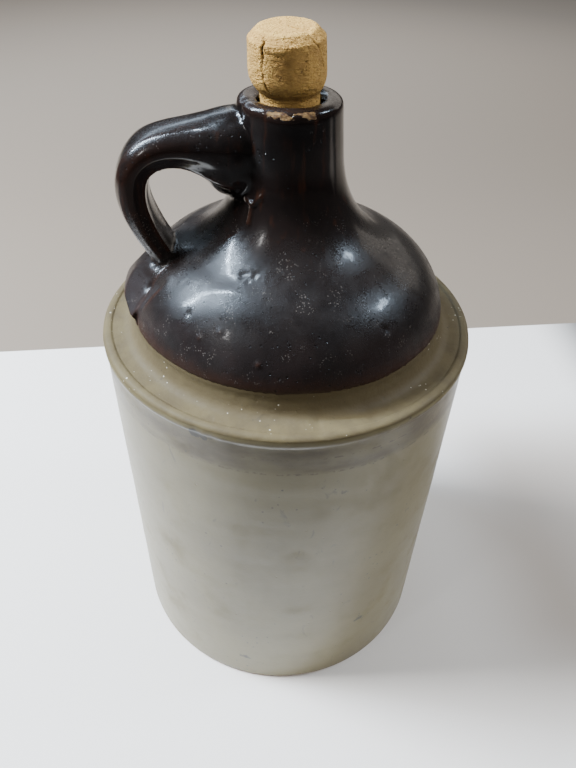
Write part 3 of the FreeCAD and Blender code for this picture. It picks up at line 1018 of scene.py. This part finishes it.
@dataclass
class SlipTop:
    """Dome, neck, bore, handle and pressed tab as one glazed form."""

    glaze_line: float = 208.3 * MM
    slip_thickness: float = 0.25 * MM
    edge_wave: float = 0.45 * MM
    dome_base: float = 206.0 * MM
    dome_rise: float = 35.5 * MM
    neck_lean: float = 1.2 * MM
    lean_from: float = 245.0 * MM
    tab_angles: tuple[float, float] = (50.0, 4.0)
    tab_widths: tuple[float, float] = (27.0 * MM, 45.0 * MM)
    tab_corner: tuple[float, float, float] = (-72.4 * MM, -9.8 * MM, 217.2 * MM)
    tab_faces: tuple[tuple[float, float, float], ...] = (
        (-0.653, -0.394, 0.647), (-0.727, 0.0, -0.686))    # near side, then end
    tab_reach: tuple[float, float] = (50 * MM, 54 * MM)     # towards -X, where the cuts set in
    tab_side: tuple[float, float] = (23 * MM, 24.5 * MM)    # off the handle's plane, where they end
    tab_top: tuple[float, float] = (228 * MM, 233 * MM)     # heights at which they end
    seam_reach: tuple[float, float] = (44 * MM, 50 * MM)
    seam_top: tuple[float, float] = (232 * MM, 238 * MM)
    seam_width: float = 0.75 * MM
    scar_angle: float = -117.0
    scar_height: float = 241 * MM
    smear_angle: float = -150.0
    smear_height: float = 276 * MM
    smear_reach: tuple[float, float] = (30 * MM, 42 * MM)
    neck_skin: tuple[float, float] = (17 * MM, 19 * MM)
    strap_start: tuple[float, float] = (21 * MM, 26 * MM)
    worn_angle: float = -92.0
    worn_spread: tuple[float, float] = (22.0, 30.0)
    worn_reach: tuple[float, float] = (17.8 * MM, 19.0 * MM)
    worn_rise: tuple[float, float] = (293.6 * MM, 295.2 * MM)
    worn_depth: float = 0.5 * MM
    crest_bend: tuple[float, float] = (0.014 * MM, 0.05 * MM)
    dome_radius: float = 70.5 * MM
    voxel: float = 0.94 * MM
    smoothing: int = 4
    flake_radius: float = 24.5 * MM
    flake_top: tuple[float, float] = (266 * MM, 270 * MM)
    flake_front: tuple[float, float] = (8 * MM, 11 * MM)
    strap: Strap = field(default_factory=Strap)

    def rough_form(self) -> bmesh.types.BMesh:
        """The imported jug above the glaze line, closed below by a ring."""
        bm = bmesh.new()
        bm.from_mesh(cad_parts[Node.JUG.value].data)
        bmesh.ops.remove_doubles(bm, verts=bm.verts, dist=MERGE * 5)
        bmesh.ops.bisect_plane(bm, geom=bm.verts[:] + bm.edges[:] + bm.faces[:],
                               dist=MERGE, plane_co=(0, 0, self.glaze_line),
                               plane_no=(0, 0, 1), clear_inner=True)
        rim = [edge for edge in bm.edges if edge.is_boundary
               and all(abs(vert.co.z - self.glaze_line) < MERGE * 20 for vert in edge.verts)]
        bmesh.ops.bridge_loops(bm, edges=rim)
        bmesh.ops.recalc_face_normals(bm, faces=bm.faces)
        return bm

    def build(self) -> bpy.types.Object:
        """Evens out the form, then works the surface."""
        bm = remeshed(self.rough_form(), self.voxel)
        smoothed(bm, self.smoothing)
        places, normals = points_of(bm)
        places = places + self.tab_cut(places)
        shift = (self.unevenness(places) + self.strap_edges(places) + self.flake(places)
                 - self.marks(places))
        worn = self.rim_wear(places)
        shift = shift + self.slip_thickness - worn * self.worn_depth
        places = places + normals * shift[:, None]
        places = places + self.leaned(places) + self.waved(places)
        put_points(bm, places)
        smoothed(bm, 1, 0.3)
        crest = eased(crests(bm, 6), *self.crest_bend)
        crest = np.maximum(crest * 0.8, self.crack(places) * 0.55)
        crest = crest * eased(places[:, 2], self.glaze_line + 1 * MM, self.glaze_line + 4 * MM)
        crest = crest * (1.0 - 0.7 * eased(places[:, 2], RIM_Z - 12 * MM, RIM_Z - 7 * MM))
        # Up-facing parts take that grey: partly dust, partly painted sheen.
        dust_and_sheen = eased(normals[:, 2], 0.20, 0.75) * (0.75 + 0.35 * lumps(places, 11 * MM, 6.1))
        return piece_from(bm, "slip_top", {
            "crest": crest, "bare": worn, "dust_and_sheen": np.clip(dust_and_sheen, 0.0, 1.0)})

    def unevenness(self, places: np.ndarray) -> np.ndarray:
        """Soft lumps and turning rings that bend the reflections.

        Args:
            places: Points in metres, one row each.

        Returns:
            Metres that each point moves outwards.
        """
        rings = lumps(places, 6 * MM, 2.2, (14.0, 14.0, 1.0)) * 0.04 * MM
        broad = lumps(places, 30 * MM, 6.6) * 0.20 * MM
        small = lumps(places, 6 * MM, 9.1) * 0.025 * MM
        scar = bell(angle_off(places, self.scar_angle), 7.0) * bell(
            places[:, 2] - self.scar_height, 1.6 * MM)
        torn = scar * (lumps(places, 1.9 * MM, 8.4) - 0.3) * 0.5 * MM
        return rings + broad + small + torn + self.smear(places)

    def smear(self, places: np.ndarray) -> np.ndarray:
        """The rough thumbed clay where the handle's root meets the neck.

        Args:
            places: Points in metres, one row each.

        Returns:
            Metres that each point moves outwards.
        """
        reach = np.hypot(places[:, 0], places[:, 1])
        around = bell(angle_off(places, self.smear_angle), 42.0)
        up = bell(places[:, 2] - self.smear_height, 20 * MM)
        near = around * up * (1.0 - eased(reach, *self.smear_reach))
        near = near * eased(reach, *self.neck_skin)
        thumbed = lumps(places, 4 * MM, 3.3) * 0.22 + lumps(places, 9 * MM, 1.1) * 0.50
        return thumbed * near * MM

    def strap_edges(self, places: np.ndarray) -> np.ndarray:
        """The strap's lower side ridge, its grooves, and the fine lines down its outside.

        Args:
            places: Points in metres, one row each.

        Returns:
            Metres that each point moves outwards.
        """
        along, angle, out = self.strap.coordinates(places)
        on_strap = (1.0 - eased(out, 1.5, 2.1)) * eased(-places[:, 0], *self.strap_start)
        on_strap = on_strap * (1.0 - eased(along, 0.90, 0.98))
        wander = lumps(places, 18 * MM, 4.4) * 5.0
        ridge = bell(angle + 46.0 + wander, 5.0) * 0.85
        groove = bell(angle + 24.0 + wander, 11.0) * -0.45
        low_groove = bell(angle + 66.0 + wander, 8.0) * -0.30
        descending = eased(along, 0.45, 0.6)
        lines = (bell(angle - 30.0 - wander, 4.0) * 0.30 + bell(angle - 17.0, 4.0) * -0.30
                 + bell(angle - 5.0 + wander, 4.5) * 0.28)
        top_edge = bell(angle - 52.0 - wander, 9.0) * 0.25 * (1.0 - descending)
        return (ridge + groove + low_groove + lines * descending + top_edge) * on_strap * MM

    def tab_cut(self, places: np.ndarray) -> np.ndarray:
        """The pressed tab's slanted sides and cut end, as a move for each point.

        Each face is a plane through the tab's outer corner. What stands past it is set back
        along the plane's normal, but never under the dome's own face.

        Args:
            places: Points in metres, one row each.

        Returns:
            A vector for each point.
        """
        mirrored = np.column_stack((places[:, 0], -np.abs(places[:, 1]), places[:, 2]))
        corner = np.array(self.tab_corner)
        lift = np.clip((places[:, 2] - self.dome_base) / self.dome_rise, 0.0, 1.0)
        dome = self.dome_radius * np.sqrt(1.0 - lift ** 2)
        reach = np.hypot(places[:, 0], places[:, 1])
        spare = np.clip(reach - dome - 0.3 * MM, 0.0, None)
        near = eased(-places[:, 0], *self.tab_reach)
        near = near * (1.0 - eased(np.abs(places[:, 1]), *self.tab_side))
        near = near * (1.0 - eased(places[:, 2], *self.tab_top))
        move = np.zeros_like(places)
        for facing in self.tab_faces:
            normal = np.array(facing) / np.linalg.norm(facing)
            past = np.clip((mirrored + move - corner) @ normal, 0.0, None)
            outward = max(math.hypot(normal[0], normal[1]), 0.2)
            past = np.minimum(past, spare / outward)
            move = move - (past * near)[:, None] * normal
        move[:, 1] = np.where(places[:, 1] > 0.0, -move[:, 1], move[:, 1])
        return move

    def crack(self, places: np.ndarray) -> np.ndarray:
        """The seam where the pressed tab's edges meet the dome, 1 along its middle.

        Args:
            places: Points in metres, one row each.

        Returns:
            0 to 1 for each point.
        """
        lift = np.clip((places[:, 2] - self.dome_base) / self.dome_rise, 0.0, 1.0)
        angle = np.degrees(np.arcsin(lift))
        first, last = self.tab_angles
        part = np.clip((first - angle) / (first - last), 0.0, 1.0)
        half = (self.tab_widths[0] + (self.tab_widths[1] - self.tab_widths[0]) * part) / 2
        wander = lumps(places, 7 * MM, 1.9) * 0.6 * MM
        seam = bell(np.abs(places[:, 1]) - half - 0.4 * MM + wander, self.seam_width)
        beside = eased(-places[:, 0], *self.seam_reach)
        tall = 1.0 - eased(places[:, 2], *self.seam_top)
        return seam * beside * tall

    def marks(self, places: np.ndarray) -> np.ndarray:
        """Depth of the pits, blisters, tool marks and of the crease beside the rim.

        Args:
            places: Points in metres, one row each.

        Returns:
            Metres for each point.
        """
        dents = (
            Dent(-121.6, 240.7 * MM, 0.9 * MM, 0.35 * MM),
            Dent(-135.3, 229.0 * MM, 1.0 * MM, 0.35 * MM),
            Dent(-146.4, 234.5 * MM, 1.1 * MM, 0.12 * MM),
            Dent(-139.0, 236.0 * MM, 1.0 * MM, 0.08 * MM),
            Dent(-132.8, 237.5 * MM, 0.8 * MM, 0.10 * MM),
            Dent(-104.8, 219.9 * MM, 1.0 * MM, -0.7 * MM),
            Dent(-127.2, 223.6 * MM, 1.0 * MM, -0.45 * MM),
            Dent(-120.1, 227.5 * MM, 0.9 * MM, -0.4 * MM),
            Dent(-164.6, 225.0 * MM, 1.4 * MM, 1.0 * MM),
            Dent(-169.8, 232.5 * MM, 1.5 * MM, 0.9 * MM),
            Dent(-163.2, 234.5 * MM, 3.5 * MM, 1.2 * MM),
            Dent(-162.0, 294.4 * MM, 1.1 * MM, 0.5 * MM),
            Dent(-155.0, 291.0 * MM, 1.0 * MM, 0.4 * MM),
            Dent(-58.0, 226.0 * MM, 1.2 * MM, 0.5 * MM),
            Dent(-70.0, 216.0 * MM, 1.1 * MM, 0.5 * MM),
            Dent(40.0, 230.0 * MM, 1.4 * MM, 0.5 * MM),
            Dent(105.0, 222.0 * MM, 1.2 * MM, -0.5 * MM),
        )
        depth = sum(dent.depth_at(places) for dent in dents)
        reach = np.hypot(places[:, 0], places[:, 1])
        slant = (RIM_Z - places[:, 2]) / MM * 0.9
        aside = np.radians(angle_off(places, -163.0) - slant) * reach
        crease = bell(aside, 1.6 * MM) * eased(places[:, 2], 287 * MM, 292 * MM) * 0.35 * MM
        return depth + crease + self.crack(places) * 0.55 * MM

    def flake(self, places: np.ndarray) -> np.ndarray:
        """Height of the thin torn edge of clay under the handle's root.

        Args:
            places: Points in metres, one row each.

        Returns:
            Metres for each point.
        """
        around = np.radians(angle_off(places, CAMERA_SIDE)) * self.flake_radius
        up = places[:, 2] - RIM_Z
        below = 1.0 - eased(places[:, 2], *self.flake_top)
        below = below * eased(-places[:, 1], *self.flake_front)
        return sum(edge.depth_at(around, up, self.flake_radius) for edge in (
            Crack(((-45.0, -34.0), (-36.0, -35.0), (-29.0, -31.5)), 0.7 * MM, 1.2 * MM),
            Crack(((-37.0, -35.0), (-36.0, -42.0)), 0.7 * MM, 1.1 * MM),
        )) * below

    def rim_wear(self, places: np.ndarray) -> np.ndarray:
        """Where the rim's front edge has lost its slip, 0 to 1.

        Args:
            places: Points in metres, one row each.

        Returns:
            A number for each point.
        """
        reach = np.hypot(places[:, 0], places[:, 1])
        around = angle_off(places, self.worn_angle) + lumps(places, 4 * MM, 7.0) * 9.0
        front = 1.0 - eased(np.abs(around), *self.worn_spread)
        edge = eased(reach, *self.worn_reach) * eased(places[:, 2], *self.worn_rise)
        patchy = 0.60 + 0.6 * lumps(places, 7 * MM, 5.0) + 0.8 * lumps(places, 1.7 * MM, 2.0)
        return np.clip(front * edge * patchy, 0.0, 1.0)

    def leaned(self, places: np.ndarray) -> np.ndarray:
        """The neck's slight lean, as a move for each point."""
        share = eased(places[:, 2], self.lean_from, RIM_Z + 10 * MM)
        return share[:, None] * np.array(CAMERA_LEFT) * self.neck_lean

    def waved(self, places: np.ndarray) -> np.ndarray:
        """The glaze's wandering lower edge, as a move for each point."""
        share = 1.0 - eased(places[:, 2], self.glaze_line + 0.5 * MM, self.glaze_line + 4 * MM)
        wave = (lumps(places, 16 * MM, 3.7) + 0.6 * lumps(places, 5 * MM, 1.2)) * self.edge_wave
        return np.column_stack((0 * wave, 0 * wave, share * wave))

    def dress(self, piece: bpy.types.Object) -> None:
        """Gives the top its slip and its place in the frame."""
        piece.data.materials.append(DarkSlip().material())
        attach(piece, "root")


# --- the cork ------------------------------------------------------------------------------


@dataclass
class CorkStopper:
    """The old cork: plug, waist, swollen head and a chamfer round its flat top."""

    plug_radius: float = 11.4 * MM
    head_radius: float = 14.1 * MM
    top_radius: float = 10.7 * MM
    head_height: float = 23.8 * MM
    chamfer_drop: float = 3.2 * MM
    waist_rise: float = 1.6 * MM
    swell: float = 4.2 * MM
    plug_depth: float = 22.0 * MM
    shift: float = 2.0 * MM         # head to the camera's left
    plug_shift: float = 1.0 * MM    # the part of that which the plug makes too
    skin: tuple[float, float] = (9.5 * MM, 11.0 * MM)   # from the axis, where the side starts
    chip_angle: float = 52.0
    chip_depth: float = 0.9 * MM
    lean_near: float = 4.0          # degrees that the head leans to the camera
    lean_left: float = 2.5          # and to its left
    steps: int = 230
    ring: float = 0.42 * MM

    def outline(self) -> list[Corner]:
        """The turned outline from the plug's end up to the top."""
        top = RIM_Z + self.head_height
        waist = RIM_Z + self.waist_rise
        return [
            Corner(0.0, RIM_Z - self.plug_depth),
            Corner(self.plug_radius - 0.6 * MM, RIM_Z - self.plug_depth, 1.0 * MM),
            Corner(self.plug_radius, waist, 0.8 * MM),
            Corner(self.plug_radius + 0.5 * MM, waist + 0.8 * MM, 0.6 * MM),
            Corner(self.head_radius + 0.3 * MM, waist + self.swell, 2.8 * MM),
            Corner(self.head_radius + 0.5 * MM, waist + self.swell * 2.4, 9.0 * MM),
            Corner(self.head_radius, top - self.chamfer_drop, 3.0 * MM),
            Corner(self.top_radius, top, 1.0 * MM),
            Corner(0.0, top),
        ]

    def cracks(self) -> tuple[Crack, ...]:
        """The open cracks in the head's side."""
        return (
            Crack(((-35.5, 21.6), (-36.2, 19.5), (-34.8, 17.2)), 0.42 * MM, 1.3 * MM),
            Crack(((-34.8, 17.2), (-36.8, 14.0), (-34.6, 9.2)), 0.24 * MM, 0.75 * MM),
            Crack(((-33.8, 8.6), (-32.5, 6.8), (-30.5, 5.2)), 0.30 * MM, 0.9 * MM),
            Crack(((-31.0, 18.3), (-20.0, 18.5), (-9.0, 17.9), (2.0, 19.4), (17.0, 19.8)),
                  0.18 * MM, 0.4 * MM),
            Crack(((47.0, 21.5), (53.0, 19.6)), 0.45 * MM, 1.1 * MM),
            Crack(((54.0, 19.0), (59.0, 15.0), (66.0, 11.3)), 0.2 * MM, 0.5 * MM),
            Crack(((-62.0, 18.0), (-50.0, 17.2)), 0.2 * MM, 0.35 * MM),
            Crack(((150.0, 20.0), (155.0, 13.0), (149.0, 7.0)), 0.3 * MM, 0.9 * MM),
            Crack(((95.0, 15.5), (118.0, 16.5)), 0.2 * MM, 0.5 * MM),
        )

    def build(self) -> bpy.types.Object:
        """Turns the cork, breaks its skin, opens its cracks and leans its head."""
        bm = turned(self.outline(), self.steps, self.ring)
        places, normals = points_of(bm)
        around = np.radians(angle_off(places, CAMERA_SIDE)) * self.head_radius
        up = places[:, 2] - RIM_Z
        side = eased(np.hypot(places[:, 0], places[:, 1]), *self.skin)
        opened = sum(crack.depth_at(around, up, self.head_radius) for crack in self.cracks())
        opened = opened * side * (0.85 + 0.5 * lumps(places, 1.8 * MM, 6.3))
        head = eased(up, 0.0, 3 * MM)
        crumbs = lumps(places, 1.3 * MM, 2.4) * 0.08 + lumps(places, 6 * MM, 7.9) * 0.10
        bitten = lumps(places, 2.0 * MM, 9.9) - 0.45
        crumbs = (crumbs - np.clip(bitten, 0.0, 1.0) * 0.7) * MM * head
        notch = self.notch(around, up)
        shelf = bell(up - 19.6 * MM, 0.6 * MM) * bell(around + 1 * MM, 5 * MM) * side * 0.35 * MM
        places = places + normals * (crumbs - opened + shelf)[:, None]
        places = places - notch[:, None] * np.array((0.0, 0.0, 1.0))
        put_points(bm, self.leaned(places))
        return piece_from(bm, "cork_stopper", {
            "crack": eased(opened, 0.20 * MM, 0.80 * MM),
            "stain": self.stain(around, up, places) * side,
            "fresh": self.fresh(places, up)})

    def notch(self, around: np.ndarray, up: np.ndarray) -> np.ndarray:
        """The bite out of the chamfer on the right, as a drop for each point."""
        across = bell(around - math.radians(self.chip_angle) * self.head_radius, 2.2 * MM)
        return across * eased(up, 18.5 * MM, self.head_height) * self.chip_depth

    def stain(self, around: np.ndarray, up: np.ndarray, places: np.ndarray) -> np.ndarray:
        """Dark stain under the cross crack and at the foot of the head.

        Args:
            around: Distance round the axis from the camera's side.
            up: Height above the rim.
            places: The points themselves.

        Returns:
            0 to 1 for each point.
        """
        front = bell(around - 0.5 * MM, 5.5 * MM) * bell(up - 13.5 * MM, 5.5 * MM)
        foot = bell(up - 2.2 * MM, 1.6 * MM) * 0.55
        patchy = 0.62 + 0.7 * lumps(places, 3 * MM, 3.2)
        return np.clip((front * 0.75 + foot) * patchy, 0.0, 0.85)

    def fresh(self, places: np.ndarray, up: np.ndarray) -> np.ndarray:
        """The paler top and its rubbed edge.

        Args:
            places: Points in metres, one row each.
            up: Their height above the rim.

        Returns:
            0 to 1 for each point.
        """
        reach = np.hypot(places[:, 0], places[:, 1])
        top = eased(up, self.head_height - 1.4 * MM, self.head_height - 0.4 * MM)
        edge = bell(reach - self.top_radius + 0.5 * MM, 0.5 * MM) * top
        return np.clip(top * 0.35 + edge * 1.3, 0.0, 1.0)

    def leaned(self, places: np.ndarray) -> np.ndarray:
        """Shifts the head and leans it about the rim's centre.

        Args:
            places: Points in metres, one row each.

        Returns:
            The moved points.
        """
        share = eased(places[:, 2], RIM_Z - 6 * MM, RIM_Z + 12 * MM)[:, None]
        pivot = np.array((0.0, 0.0, RIM_Z))
        near = Matrix.Rotation(math.radians(self.lean_near), 3,
                               Vector((0, 0, 1)).cross(CAMERA_NEAR))
        left = Matrix.Rotation(math.radians(self.lean_left), 3,
                               Vector((0, 0, 1)).cross(CAMERA_LEFT))
        turned_places = (places - pivot) @ np.array(near @ left).T + pivot
        turned_places = turned_places + np.array(CAMERA_LEFT) * (self.shift - self.plug_shift)
        base = np.array(CAMERA_LEFT) * self.plug_shift
        return places + base + (turned_places - places) * share

    def dress(self, piece: bpy.types.Object) -> None:
        """Gives the cork its bark and its place in the frame."""
        piece.data.materials.append(CorkBark().material())
        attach(piece, "root")
        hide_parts(Node.CORK.value)


# --- stage, light and camera ---------------------------------------------------------------


@dataclass
class Stage:
    """The floor that the jug stands on."""

    half_width: float = 4.0

    def build(self) -> None:
        """Lays the floor."""
        sheet = bmesh.new()
        bmesh.ops.create_grid(sheet, x_segments=1, y_segments=1, size=self.half_width)
        floor = piece_from(sheet, "floor")
        floor.data.materials.append(TableTop().material())


@dataclass(frozen=True)
class Softbox:
    """A soft rectangular light, aimed at a point on the jug."""

    name: str
    azimuth: float          # degrees from +Y towards +X
    elevation: float
    distance: float
    size: tuple[float, float]
    watts: float
    color: tuple[float, float, float]
    roll: float = 0.0
    mirrored: bool = True   # whether glossy surfaces show it
    aim: tuple[float, float, float] = (0.0, 0.0, 0.2)

    def build(self) -> None:
        """Adds the light."""
        data = bpy.data.lights.new(self.name, "AREA")
        data.shape = "RECTANGLE"
        data.size, data.size_y = self.size
        data.energy = self.watts
        data.color = self.color
        lamp = bpy.data.objects.new(self.name, data)
        lamp.visible_glossy = self.mirrored
        around, up = math.radians(self.azimuth), math.radians(self.elevation)
        towards = Vector((math.sin(around) * math.cos(up), math.cos(around) * math.cos(up),
                          math.sin(up)))
        aim = Vector(self.aim)
        turn = towards.to_track_quat("Z", "Y").to_matrix().to_4x4()
        lamp.matrix_world = (Matrix.Translation(aim + towards * self.distance) @ turn
                             @ Matrix.Rotation(math.radians(self.roll), 4, "Z"))
        bpy.context.scene.collection.objects.link(lamp)


@dataclass
class Daylight:
    """Light from a window on the left, partly cool, with weak fill from the room."""

    ambient: Color = rgb(1.00, 0.94, 0.89)
    ambient_strength: float = 0.04

    def build(self) -> None:
        """Adds the softboxes and the room's own light."""
        cool, plain, warm = (0.66, 0.82, 1.0), (1.0, 0.985, 0.96), (1.0, 0.92, 0.83)
        boxes = (
            Softbox("window", -80.0, 44.0, 1.25, (0.45, 0.45), 46.0, plain, mirrored=False),
            Softbox("window_pane", -74.0, 50.0, 1.24, (0.40, 0.50), 4.8, cool),
            Softbox("window_gap", -73.0, 49.0, 1.20, (0.78, 0.026), 19.0, cool, roll=-64.0),
            Softbox("far_window", 88.0, 42.0, 1.30, (0.20, 0.14), 4.2, cool),
            Softbox("far_wall", -34.0, 30.0, 1.40, (1.40, 0.16), 2.6, cool),
            Softbox("wall_behind", 30.0, 24.0, 1.60, (2.20, 0.70), 3.6, warm),
            Softbox("wall_right", 92.0, 34.0, 1.30, (0.90, 0.50), 7.0, warm, mirrored=False),
            Softbox("room", 150.0, 26.0, 1.40, (0.90, 0.70), 4.6, warm, mirrored=False),
            Softbox("lamp_near", -125.0, 38.0, 1.20, (0.05, 0.22), 1.0, plain, roll=25.0),
            Softbox("ceiling", 0.0, 74.0, 1.60, (1.4, 1.0), 4.0, warm, mirrored=False),
        )
        for box in boxes:
            box.build()
        world = bpy.data.worlds.new("room")
        world.use_nodes = True
        background = world.node_tree.nodes["Background"]
        background.inputs["Color"].default_value = self.ambient
        background.inputs["Strength"].default_value = self.ambient_strength
        bpy.context.scene.world = world


@dataclass
class Viewpoint:
    """The camera: standing over the jug and looking down at it."""

    place: tuple[float, float, float] = (-26.3 * MM, -250.4 * MM, 374.2 * MM)
    heading: float = 6.384      # degrees from +Y towards +X
    down: float = 41.362        # degrees below level
    roll: float = 1.948
    lens: float = 29.97         # millimetres
    sensor: float = 36.0

    def build(self) -> None:
        """Adds the camera and makes it the scene's own."""
        data = bpy.data.cameras.new("viewpoint")
        data.lens = self.lens
        data.sensor_width = self.sensor
        data.sensor_fit = "AUTO"
        data.clip_start = 1 * MM
        camera = bpy.data.objects.new("viewpoint", data)
        camera.matrix_world = (
            Matrix.Translation(self.place)
            @ Matrix.Rotation(math.radians(-self.heading), 4, "Z")
            @ Matrix.Rotation(math.radians(90.0 - self.down), 4, "X")
            @ Matrix.Rotation(math.radians(self.roll), 4, "Z"))
        bpy.context.scene.collection.objects.link(camera)
        bpy.context.scene.camera = camera


def report(piece: bpy.types.Object) -> None:
    """Logs a finished piece's name and how many faces it has."""
    LOG.info("%s: %d faces", piece.name, len(piece.data.polygons))


def main() -> None:
    """Builds the camera, the jug, the cork and the stage, in that order."""
    logging.basicConfig(level=logging.INFO, format="%(name)s: %(message)s")
    Viewpoint().build()
    body = CreamBody()
    body_piece = body.build()
    body.dress(body_piece)
    report(body_piece)
    top = SlipTop()
    top_piece = top.build()
    top.dress(top_piece)
    report(top_piece)
    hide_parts(Node.JUG.value)
    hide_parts(Node.JUG.value)
    stopper = CorkStopper()
    cork_piece = stopper.build()
    stopper.dress(cork_piece)
    report(cork_piece)
    Stage().build()
    Daylight().build()


if __name__ == "__main__":
    main()
